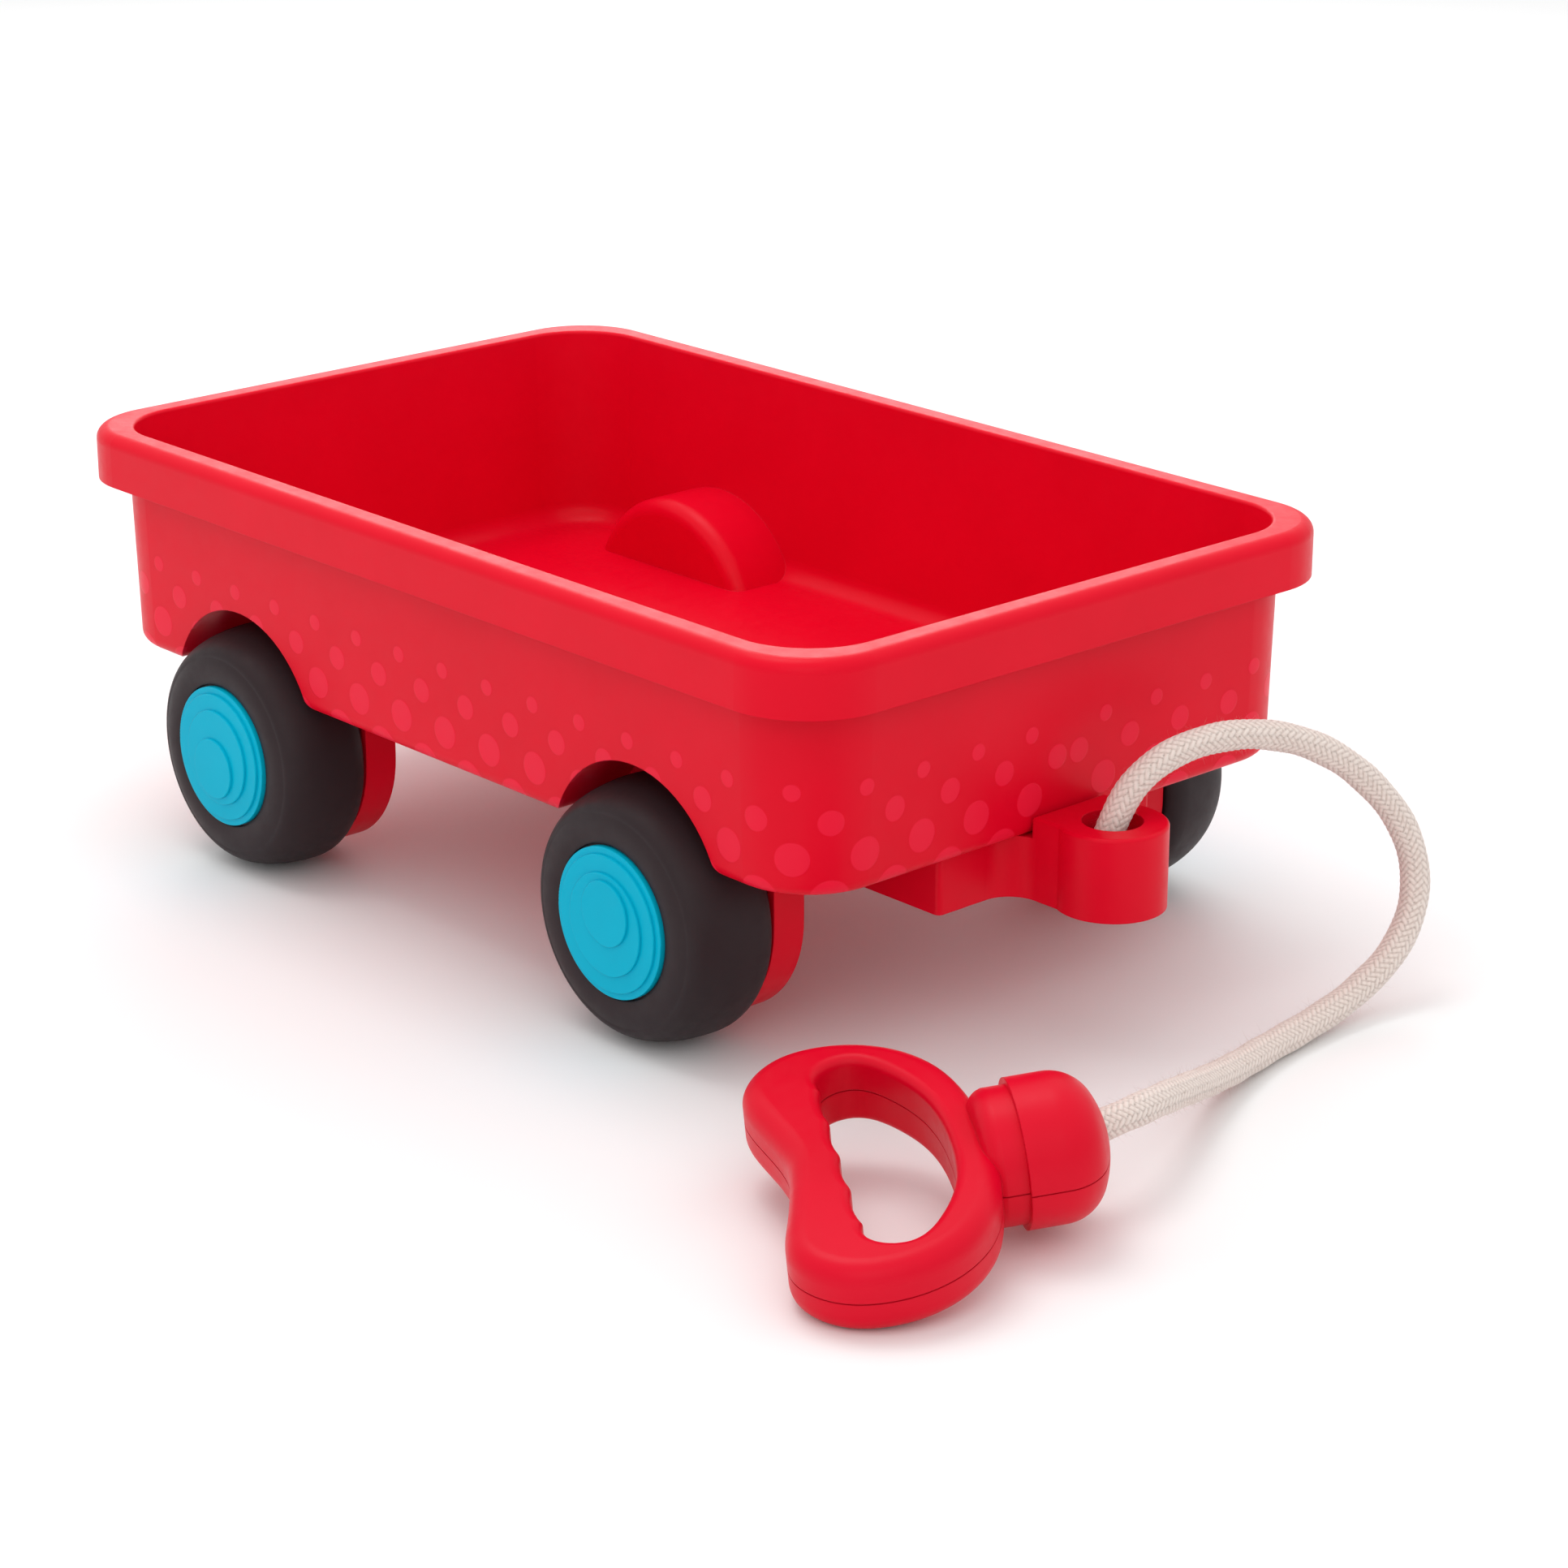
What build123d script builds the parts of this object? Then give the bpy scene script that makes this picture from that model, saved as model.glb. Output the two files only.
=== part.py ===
from build123d import *
import os
from math import acos, atan2, degrees, pi, radians, tan

os.makedirs("parts", exist_ok=True)

# A child's pull wagon: one moulded tub on two axle carriers, four two-part wheels,
# a tow hitch and a pull rope with a D-shaped grip.
# Millimetres. +X is the front, +Z is up, and z = 0 is the top of the cargo floor.

# ---------------------------------------------------------------- driving dimensions

# tub
floor_height = 71.0        # cargo floor above the ground
cargo_length = 374.4       # cargo space, measured at the floor
cargo_width = 224.5
cargo_corner = 25.0
cargo_round = 8.0          # between floor and walls
tub_draft = 1.3            # lean of the walls, degrees
tub_wall = 2.8
floor_thickness = 2.8
bottom_round = 4.5
rim_top = 78.5
rim_band = 11.0            # flat band round the opening
rim_skirt = 19.0
rim_wall = 2.6
rim_shoulder = 4.5
rim_lip = 1.2

# wheel arches
front_axle_x = 110.0
rear_axle_x = -107.0
arch_gap = 7.5             # above the tyre
arch_rise = 9.5            # arch centre above the axle
arch_flare = 7.0
well_gap = 5.35            # behind the tyre's inner face
cover_round = 6.0

# wheels
tyre_radius = 44.0
tyre_stand_out = 10.45     # beyond the tub's wall at floor level
tyre_width = 33.1
tyre_thickness = 6.5
shoulder_width = 23.7
shoulder_height = 8.1
inner_shoulder_width = 7.7
inner_shoulder_height = 4.7
drum_radius = 26.2
drum_wall = 2.7
drum_inset = 0.8           # drum behind the tyre's inner face
web_thickness = 3.0
web_inset = 12.0
hub_radius = 7.0
hub_length = 19.6
rib_count = 6
rib_thickness = 2.0
axle_diameter = 5.0
axle_play = 0.05           # radial, between hub and axle
seat_fit = 0.05            # radial, between tyre and drum and between cap and drum

# hub caps
cap_gap = 0.75             # between the cap's edge and the tyre's bead
cap_thickness = 2.5
cap_recess = 1.7           # cap seat behind the tyre's outer face
cap_step = 1.0
cap_ring_radius = 23.2
cap_disc_radius = 17.4
cap_button_radius = 11.1
cap_button_offset = 4.4
cap_skirt_depth = 2.8
cap_skirt_wall = 2.0
cap_edge_round = 0.35

# axle carriers
leg_gap = 1.4              # between leg and tyre
leg_thickness = 13.0
leg_clearance = 4.0        # above the ground
leg_rim = 3.0
leg_boss_radius = 8.0
beam_width = 36.0
beam_gap = 2.5             # above the axle
beam_wall = 3.0
washer_radius = 6.0
washer_play = 0.1
nut_radius = 5.0
nut_thickness = 2.5
nut_gap = 0.1
axle_stickout = 1.5

# screws
screw_diameter = 3.0
screw_hole_play = 0.2
screw_head_radius = 3.2
screw_head_height = 2.2
screw_grip = 10.0          # thread length inside a boss
slot_width = 0.9
slot_depth = 1.0
boss_radius = 4.5
carrier_screw_y = 50.0

# tow hitch
hitch_setback = 8.0        # front plate behind the tub's front wall
hitch_length = 47.0
hitch_half_width = 49.0
hitch_depth = 24.0         # below the cargo floor's top
hitch_wall = 2.8
hitch_edge_round = 2.0
neck_half_width = 16.5
neck_fillet = 11.0
neck_gap = 1.4             # from the tub's front wall
eye_reach = 20.9           # eye centre in front of the tub's front wall
eye_radius = 18.3
eye_top = 4.5
eye_hole_radius = 10.0
knot_pocket_radius = 15.5
pocket_top = -5.0
eye_round = 1.2
hitch_screw_setback = 24.0 # behind the front plate
hitch_screw_y = 32.0

# pull rope, measured from the hitch eye's axis; heights are above the ground
rope_diameter = 10.0
rope_route = [
    (-1, -6, 60),
    (0, 1.5, 80),
    (3.5, 14, 92.5),
    (8, 33, 97.5),
    (14, 54, 96.5),
    (21, 75, 89),
    (27.5, 93, 75),
    (36.5, 104, 57),
    (43.5, 103, 37),
    (45.5, 91, 19.5),
    (45, 69, 9),
    (46, 46, 5.5),
    (49, 22, 5.2),
    (56, -2, 7.5),
    (65, -25, 13),
    (75, -47, 20),
    (84, -69, 26),
    (88, -90, 28),
    (86, -110, 27),
]
knot_radius = 11.0
knot_gap = 0.5             # below the eye's ceiling

# grip, in its own plane: u runs from the ball towards the back of the grip,
# v runs across it and n is its thickness
grip_center = (86.7, -117.5, 27.0)
grip_axis = (0.547, 0.830, 0.113)
grip_across = (-0.834, 0.529, 0.156)
grip_thickness = 23.0
grip_wall = 2.5
grip_edge_round = 6.5
grip_hole_round = 3.0
grip_outline = [
    (-75.8, 0),
    (-80.5, 24),
    (-82.5, 42),
    (-72, 55.5),
    (-57.2, 59.2),
    (-38, 54),
    (-23.5, 39),
    (-17.5, 20),
    (-15.5, 0),
]
finger_hole_front = [
    (-60.2, 34),
    (-57.5, 44),
    (-50, 46.2),
    (-38.4, 36.7),
    (-31.5, 23),
    (-28.4, 0),
]
finger_count = 4
finger_pitch = 17.0
finger_depth = 1.3
finger_cusp_round = 6.0
collar_radius = 20.5
collar_back = -21.0
collar_front = -9.5
ball_radius = 22.5
ball_band_front = 2.0
ball_front = 18.0
ball_shoulder = 14.0
seam_gap = 0.4
seam_depth = 1.0
mouth_play = 0.6
grip_post_radius = 3.6
grip_screws = [(-70.0, 22.0), (-70.0, -22.0), (-28.5, 33.0), (-28.5, -33.0)]
grip_screw_diameter = 2.6
grip_head_radius = 2.6
grip_head_depth = 5.0
grip_screw_reach = 6.0     # above the seam

# ---------------------------------------------------------------- derived places

ground = -floor_height
axle_z = ground + tyre_radius
axle_places = {"front": front_axle_x, "rear": rear_axle_x}
tub_bottom = -floor_thickness
body_length = cargo_length + 2 * tub_wall
body_width = cargo_width + 2 * tub_wall
rim_length = cargo_length + 2 * rim_top * tan(radians(tub_draft)) + 2 * rim_band
rim_width = cargo_width + 2 * rim_top * tan(radians(tub_draft)) + 2 * rim_band
rim_corner = cargo_corner + rim_band / 2
arch_radius = tyre_radius + arch_gap - arch_rise
arch_z = axle_z + arch_rise
tyre_outer = body_width / 2 + tyre_stand_out
tyre_inner = tyre_outer - tyre_width
well_end = tyre_inner - well_gap
cover_face = well_end - tub_wall
leg_outer = tyre_inner - leg_gap
leg_inner = leg_outer - leg_thickness
leg_half_width = tyre_radius - leg_clearance
washer_thickness = leg_gap - washer_play
beam_bottom = axle_z + axle_diameter / 2 + beam_gap
cap_radius = drum_radius + seat_fit - cap_gap
hitch_bottom = -hitch_depth
drum_inner_face = tyre_inner + drum_inset
cap_seat = tyre_outer - cap_recess
hub_end = tyre_inner + hub_length
nut_start = hub_end + nut_gap
axle_half = nut_start + nut_thickness + axle_stickout
hitch_front_x = body_length / 2 - hitch_setback
hitch_back_x = hitch_front_x - hitch_length
hitch_screw_x = hitch_front_x - hitch_screw_setback
eye_x = body_length / 2 + eye_reach


def band(start, end, inner, outer):
    """A rectangle between two places along the axle and two radii."""
    with Locations(((start + end) / 2, (inner + outer) / 2)):
        Rectangle(end - start, outer - inner)


def wheel_plane(x, side):
    """Half-section plane of a wheel: across is distance from the middle, up is radius."""
    return Plane(origin=(x, 0, axle_z), x_dir=(0, side, 0), z_dir=(side, 0, 0))


def axle_axis(x):
    return Axis((x, 0, axle_z), (0, 1, 0))


def leg_outline(x, inset):
    """A leg plate: straight-sided above the axle, round below it, flat under the tub."""
    half = leg_half_width - inset
    top = tub_bottom - inset
    with Locations((x, axle_z)):
        Circle(half)
        Rectangle(2 * half, top - axle_z, align=(Align.CENTER, Align.MIN))
    with Locations((x, top)):
        Rectangle(2 * half, half, align=(Align.CENTER, Align.MIN), mode=Mode.SUBTRACT)


# ---------------------------------------------------------------- tub

# rounded covers over the wheel wells, inside the cargo space
with BuildPart() as well_covers:
    with BuildSketch(Plane.XZ.offset(-cover_face)):
        with Locations(*[(x, arch_z) for x in axle_places.values()]):
            Circle(arch_radius + tub_wall)
    extrude(amount=-(body_width / 2 - cover_face))
    fillet(well_covers.faces().group_by(Axis.Y)[0].edges(), cover_round)
    mirror(about=Plane.XZ)

with BuildPart() as cargo_space:
    with BuildSketch():
        RectangleRounded(cargo_length, cargo_width, cargo_corner)
    extrude(amount=rim_top + rim_wall, taper=-tub_draft)
    fillet(cargo_space.faces().sort_by(Axis.Z)[0].edges(), cargo_round)
    add(well_covers.part, mode=Mode.SUBTRACT)

# wheel wells cut in from the sides, flared where they meet the tub's bottom
with BuildPart() as wheel_wells:
    with BuildSketch(Plane.XZ.offset(-well_end)) as arches:
        for x in axle_places.values():
            with Locations((x, arch_z)):
                Circle(arch_radius)
            with Locations((x, tub_bottom)):
                Rectangle(3 * arch_radius, arch_radius, align=(Align.CENTER, Align.MAX))
        flares = [v for v in arches.vertices() if abs(v.Y - tub_bottom) < 0.01]
        inside = [v for v in flares for x in axle_places.values() if abs(v.X - x) < arch_radius]
        fillet(inside, arch_flare)
    extrude(amount=-(rim_width / 2 - well_end))
    mirror(about=Plane.XZ)

carrier_bosses = [(x, side * carrier_screw_y) for x in axle_places.values() for side in (1, -1)]
hitch_bosses = [(hitch_screw_x, side * hitch_screw_y) for side in (1, -1)]

with BuildPart() as tub:
    with BuildSketch(Plane.XY.offset(rim_top - rim_skirt)):
        RectangleRounded(rim_length, rim_width, rim_corner)
    extrude(amount=rim_skirt)
    fillet(tub.faces().sort_by(Axis.Z)[-1].edges(), rim_shoulder)
    with BuildSketch(Plane.XY.offset(rim_top - rim_skirt)):
        RectangleRounded(rim_length - 2 * rim_wall, rim_width - 2 * rim_wall, rim_corner - rim_wall)
    extrude(amount=rim_skirt - rim_wall, mode=Mode.SUBTRACT)
    with BuildSketch(Plane.XY.offset(tub_bottom)):
        RectangleRounded(body_length, body_width, cargo_corner + tub_wall)
    extrude(amount=rim_top - rim_wall / 2 - tub_bottom, taper=-tub_draft)
    fillet(tub.faces().sort_by(Axis.Z)[0].edges(), bottom_round)
    add(cargo_space.part, mode=Mode.SUBTRACT)
    fillet(tub.faces().sort_by(Axis.Z)[-1].inner_wires().edges(), rim_lip)
    add(wheel_wells.part, mode=Mode.SUBTRACT)
    for places, seat in (
        (carrier_bosses, beam_bottom + beam_wall),
        (hitch_bosses, hitch_bottom + hitch_wall),
    ):
        with BuildSketch(Plane.XY.offset(tub_bottom)):
            with Locations(*places):
                Circle(boss_radius)
        extrude(amount=seat - tub_bottom)
        with BuildSketch(Plane.XY.offset(seat)):
            with Locations(*places):
                Circle(screw_diameter / 2)
        extrude(amount=screw_grip, mode=Mode.SUBTRACT)

tub.part.label = "tub"
export_step(tub.part, "parts/tub.step")


# ---------------------------------------------------------------- screws

def screws(name, places, head_z, wall):
    """Pan-head screws driven upwards through a wall into the tub's bosses."""
    with BuildPart() as screw:
        with BuildSketch(Plane.XY.offset(head_z)):
            with Locations(*places):
                Circle(screw_head_radius)
        extrude(amount=-screw_head_height)
        fillet(screw.faces().group_by(Axis.Z)[0].edges(), screw_head_height / 2)
        with BuildSketch(Plane.XY.offset(head_z - screw_head_height)):
            with Locations(*places):
                Rectangle(screw_head_radius * 1.3, slot_width)
                Rectangle(slot_width, screw_head_radius * 1.3)
        extrude(amount=slot_depth, mode=Mode.SUBTRACT)
        with BuildSketch(Plane.XY.offset(head_z)):
            with Locations(*places):
                Circle(screw_diameter / 2)
        extrude(amount=wall + screw_grip - slot_depth)
    screw.part.label = name
    export_step(screw.part, f"parts/{name}.step")


screws("hitch_screws", hitch_bosses, hitch_bottom, hitch_wall)
for end, x in axle_places.items():
    places = [(x, carrier_screw_y), (x, -carrier_screw_y)]
    screws(f"carrier_screws_{end}", places, beam_bottom, beam_wall)

# ---------------------------------------------------------------- tow hitch

with BuildPart() as tow_hitch:
    with BuildSketch(Plane.XY.offset(hitch_bottom)) as footprint:
        with Locations(((hitch_back_x + hitch_front_x) / 2, 0)):
            Rectangle(hitch_front_x - hitch_back_x, 2 * hitch_half_width)
        with Locations(((hitch_front_x + eye_x) / 2, 0)):
            Rectangle(eye_x - hitch_front_x, 2 * neck_half_width)
        with Locations((eye_x, 0)):
            Circle(eye_radius)
        roots = [v for v in footprint.vertices() if abs(v.X - hitch_front_x) < 0.01]
        fillet([v for v in roots if abs(v.Y) < hitch_half_width - 1], neck_fillet)
        fillet([v for v in footprint.vertices() if abs(v.Y) > hitch_half_width - 0.01], hitch_edge_round)
    extrude(amount=tub_bottom - hitch_bottom)
    with BuildSketch(Plane.XY.offset(tub_bottom)):
        with Locations((body_length / 2 + neck_gap, 0)):
            Rectangle(eye_reach - neck_gap, 2 * neck_half_width, align=(Align.MIN, Align.CENTER))
        with Locations((eye_x, 0)):
            Circle(eye_radius)
    extrude(amount=eye_top - tub_bottom)
    fillet(tow_hitch.faces().sort_by(Axis.Z)[-1].edges(), eye_round)
    with BuildSketch(Plane.XY.offset(hitch_bottom + hitch_wall)):
        with Locations(((hitch_back_x + hitch_front_x) / 2, 0)):
            Rectangle(
                hitch_front_x - hitch_back_x - 2 * hitch_wall,
                2 * (hitch_half_width - hitch_wall),
            )
    extrude(amount=tub_bottom - hitch_bottom - hitch_wall, mode=Mode.SUBTRACT)
    with BuildSketch(Plane.XY.offset(hitch_bottom)):
        with Locations((eye_x, 0)):
            Circle(knot_pocket_radius)
    extrude(amount=pocket_top - hitch_bottom, mode=Mode.SUBTRACT)
    with BuildSketch(Plane.XY.offset(pocket_top)):
        with Locations((eye_x, 0)):
            Circle(eye_hole_radius)
    extrude(amount=eye_top - pocket_top, mode=Mode.SUBTRACT)
    with BuildSketch(Plane.XY.offset(hitch_bottom)):
        with Locations(*hitch_bosses):
            Circle(screw_diameter / 2 + screw_hole_play)
    extrude(amount=hitch_wall, mode=Mode.SUBTRACT)

tow_hitch.part.label = "tow_hitch"
export_step(tow_hitch.part, "parts/tow_hitch.step")

# ---------------------------------------------------------------- axle carriers and axles

for end, x in axle_places.items():
    with BuildPart() as carrier:
        # a leg plate, pocketed from the wheel's side round the axle boss
        with BuildSketch(Plane.XZ.offset(-leg_inner)):
            leg_outline(x, 0)
        extrude(amount=-leg_thickness)
        with BuildSketch(Plane.XZ.offset(-leg_outer)):
            leg_outline(x, leg_rim)
            with Locations((x, axle_z)):
                Circle(leg_boss_radius, mode=Mode.SUBTRACT)
        extrude(amount=leg_thickness - leg_rim, mode=Mode.SUBTRACT)
        with BuildSketch(Plane.XZ.offset(-leg_outer)):
            with Locations((x, axle_z)):
                Circle(axle_diameter / 2)
        extrude(amount=leg_thickness, mode=Mode.SUBTRACT)
        mirror(about=Plane.XZ)
        # the channel beam that joins the two legs under the tub
        with BuildSketch(Plane.XY.offset(beam_bottom)):
            with Locations((x, 0)):
                Rectangle(beam_width, 2 * leg_inner)
        extrude(amount=tub_bottom - beam_bottom)
        with BuildSketch(Plane.XY.offset(beam_bottom + beam_wall)):
            with Locations((x, 0)):
                Rectangle(beam_width - 2 * beam_wall, 2 * leg_inner)
        extrude(amount=tub_bottom - beam_bottom - beam_wall, mode=Mode.SUBTRACT)
        with BuildSketch(Plane.XY.offset(beam_bottom)):
            with Locations((x, carrier_screw_y), (x, -carrier_screw_y)):
                Circle(screw_diameter / 2 + screw_hole_play)
        extrude(amount=beam_wall, mode=Mode.SUBTRACT)
    carrier.part.label = f"axle_carrier_{end}"
    export_step(carrier.part, f"parts/axle_carrier_{end}.step")

    with BuildPart() as axle:
        with BuildSketch(Plane.XZ.offset(-axle_half)):
            with Locations((x, axle_z)):
                Circle(axle_diameter / 2)
        extrude(amount=2 * axle_half)
        chamfer(axle.edges().filter_by(GeomType.CIRCLE), 0.5)
    axle.part.label = f"axle_{end}"
    export_step(axle.part, f"parts/axle_{end}.step")

    with BuildPart() as washers:
        with BuildSketch(Plane.XZ.offset(-leg_outer)):
            with Locations((x, axle_z)):
                Circle(washer_radius)
                Circle(axle_diameter / 2, mode=Mode.SUBTRACT)
        extrude(amount=-washer_thickness)
        mirror(about=Plane.XZ)
    washers.part.label = f"washers_{end}"
    export_step(washers.part, f"parts/washers_{end}.step")

    with BuildPart() as push_nuts:
        with BuildSketch(Plane.XZ.offset(-nut_start)):
            with Locations((x, axle_z)):
                Circle(nut_radius)
        extrude(amount=-nut_thickness)
        fillet(push_nuts.faces().sort_by(Axis.Y)[-1].edges(), nut_thickness / 2)
        with BuildSketch(Plane.XZ.offset(-nut_start)):
            with Locations((x, axle_z)):
                Circle(axle_diameter / 2)
        extrude(amount=-nut_thickness, mode=Mode.SUBTRACT)
        mirror(about=Plane.XZ)
    push_nuts.part.label = f"push_nuts_{end}"
    export_step(push_nuts.part, f"parts/push_nuts_{end}.step")

# ---------------------------------------------------------------- wheels

def cap_rims(edges):
    """The outer edge of each step on a hub cap's face."""
    face = cap_seat + cap_thickness
    steps = {
        cap_radius: face,
        cap_ring_radius: face + cap_step,
        cap_disc_radius: face + 2 * cap_step,
        cap_button_radius: face + 3 * cap_step,
    }
    rims = []
    for edge in edges.filter_by(GeomType.CIRCLE):
        for radius, place in steps.items():
            if abs(edge.radius - radius) < 0.01 and abs(abs(edge.arc_center.Y) - place) < 0.01:
                rims.append(edge)
    return rims


# side of the wagon, and the angle of the hub cap's off-centre button
wheels = {
    "front_right": (front_axle_x, -1, 77.0),
    "front_left": (front_axle_x, 1, 205.0),
    "rear_right": (rear_axle_x, -1, 256.0),
    "rear_left": (rear_axle_x, 1, 20.0),
}

for place, (x, side, button_angle) in wheels.items():
    section = wheel_plane(x, side)
    spin = axle_axis(x)

    with BuildPart() as tyre:
        with BuildSketch(section):
            with BuildLine():
                outer = EllipticalCenterArc(
                    (tyre_outer - 1.2 - shoulder_width, tyre_radius - shoulder_height),
                    shoulder_width,
                    shoulder_height,
                    start_angle=0,
                    arc_size=90,
                )
                inner = EllipticalCenterArc(
                    (tyre_inner + inner_shoulder_width, tyre_radius - inner_shoulder_height),
                    inner_shoulder_width,
                    inner_shoulder_height,
                    start_angle=90,
                    arc_size=90,
                )
                Line(outer @ 1, inner @ 0)
                Line(inner @ 1, (tyre_inner, drum_radius + seat_fit))
                Line((tyre_inner, drum_radius + seat_fit), (tyre_outer - 0.6, drum_radius + seat_fit))
                bead = (tyre_outer - 0.6, drum_radius + seat_fit)
                ThreePointArc(bead, (tyre_outer, (bead[1] + (outer @ 0).Y) / 2), outer @ 0)
            make_face()
            # the tyre is hollow, open towards the drum
            hollow_top = tyre_radius - tyre_thickness
            hollow_shoulder = min(7.0, 0.62 * (hollow_top - drum_radius))
            with BuildLine():
                Polyline(
                    (tyre_inner + tyre_thickness, drum_radius),
                    (tyre_inner + tyre_thickness, hollow_top - 2),
                    (tyre_inner + tyre_thickness + 4, hollow_top),
                    (tyre_outer - tyre_thickness - 9, hollow_top - 1),
                    (tyre_outer - tyre_thickness, hollow_top - hollow_shoulder),
                    (tyre_outer - tyre_thickness, drum_radius),
                    close=True,
                )
            make_face(mode=Mode.SUBTRACT)
        revolve(axis=spin)
    tyre.part.label = f"tyre_{place}"
    export_step(tyre.part, f"parts/tyre_{place}.step")

    with BuildPart() as core:
        with BuildSketch(section):
            band(drum_inner_face, cap_seat, drum_radius - drum_wall, drum_radius)
            band(tyre_inner + web_inset, tyre_inner + web_inset + web_thickness, hub_radius, drum_radius)
            band(tyre_inner, hub_end, axle_diameter / 2 + axle_play, hub_radius)
        revolve(axis=spin)
        with BuildSketch(Plane.XZ.offset(-side * drum_inner_face)):
            with Locations((x, axle_z)):
                with PolarLocations((hub_radius + drum_radius - drum_wall) / 2, rib_count):
                    Rectangle(drum_radius - drum_wall - hub_radius + 0.6, rib_thickness)
        extrude(amount=-side * (web_inset + 1 - drum_inset))
    core.part.label = f"wheel_core_{place}"
    export_step(core.part, f"parts/wheel_core_{place}.step")

    with BuildPart() as cap:
        cap_face = cap_seat + cap_thickness
        skirt_radius = drum_radius - drum_wall - seat_fit
        with BuildSketch(section):
            band(cap_seat, cap_face, 0, cap_radius)
            band(cap_face, cap_face + cap_step, 0, cap_ring_radius)
            band(cap_face + cap_step, cap_face + 2 * cap_step, 0, cap_disc_radius)
            band(cap_seat - cap_skirt_depth, cap_seat, skirt_radius - cap_skirt_wall, skirt_radius)
        revolve(axis=spin)
        with BuildSketch(Plane.XZ.offset(-side * (cap_face + 2 * cap_step))):
            with Locations((x, axle_z)):
                with PolarLocations(cap_button_offset, 1, start_angle=button_angle):
                    Circle(cap_button_radius)
        extrude(amount=-side * cap_step)
        fillet(cap_rims(cap.edges()), cap_edge_round)
    cap.part.label = f"hub_cap_{place}"
    export_step(cap.part, f"parts/hub_cap_{place}.step")


# ---------------------------------------------------------------- pull rope

def fillet_radii(points):
    """The largest smooth arc at each inner point of a route."""
    radii = []
    for before, here, after in zip(points, points[1:], points[2:]):
        run_in = here - before
        run_out = after - here
        cosine = run_in.dot(run_out) / run_in.length / run_out.length
        radii.append(0.45 * min(run_in.length, run_out.length) / tan(acos(cosine) / 2))
    return radii


route = [Vector(eye_x + x, y, z + ground) for x, y, z in rope_route]
radii = fillet_radii(route)
print("rope radii", [round(radius, 1) for radius in radii])

with BuildPart() as pull_rope:
    with BuildLine() as rope_line:
        FilletPolyline(*route, radius=radii)
    with BuildSketch(Plane(origin=route[0], z_dir=route[1] - route[0])):
        Circle(rope_diameter / 2)
    sweep()

pull_rope.part.label = "pull_rope"
export_step(pull_rope.part, "parts/pull_rope.step")
rope_length = sum(edge.length for edge in rope_line.edges())
section_area = pi * (rope_diameter / 2) ** 2
print("rope length", round(rope_length, 1))
print("rope volume", round(pull_rope.part.volume), "section x length", round(section_area * rope_length))

# each end of the rope is tied in a knot
grip_origin = Vector(eye_x + grip_center[0], grip_center[1], grip_center[2] + ground)
knots = {
    "rope_knot_hitch": Vector(eye_x, -1, pocket_top - knot_radius - knot_gap),
    "rope_knot_grip": grip_origin,
}
for name, center in knots.items():
    with BuildPart() as knot:
        with Locations(center):
            Sphere(knot_radius)
    knot.part.label = name
    export_step(knot.part, f"parts/{name}.step")

# ---------------------------------------------------------------- grip

grip_plane = Plane(
    origin=grip_origin,
    x_dir=Vector(*grip_axis),
    z_dir=Vector(*grip_axis).cross(Vector(*grip_across)),
)
grip_section = Plane(origin=grip_origin, x_dir=grip_plane.x_dir, z_dir=-grip_plane.y_dir)
grip_spin = Axis(grip_origin, grip_plane.x_dir)


def mirrored(points):
    """A half outline and its mirror image across the grip's axis."""
    return points + [(u, -v) for u, v in reversed(points) if v > 0]


def moved_outline(points, distance):
    """A closed clockwise outline with each point moved outwards along its normal."""
    moved = []
    for before, here, after in zip(points[-1:] + points[:-1], points, points[1:] + points[:1]):
        along = Vector(after[0] - before[0], after[1] - before[1]).normalized()
        moved.append((here[0] - along.Y * distance, here[1] + along.X * distance))
    return moved


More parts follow.
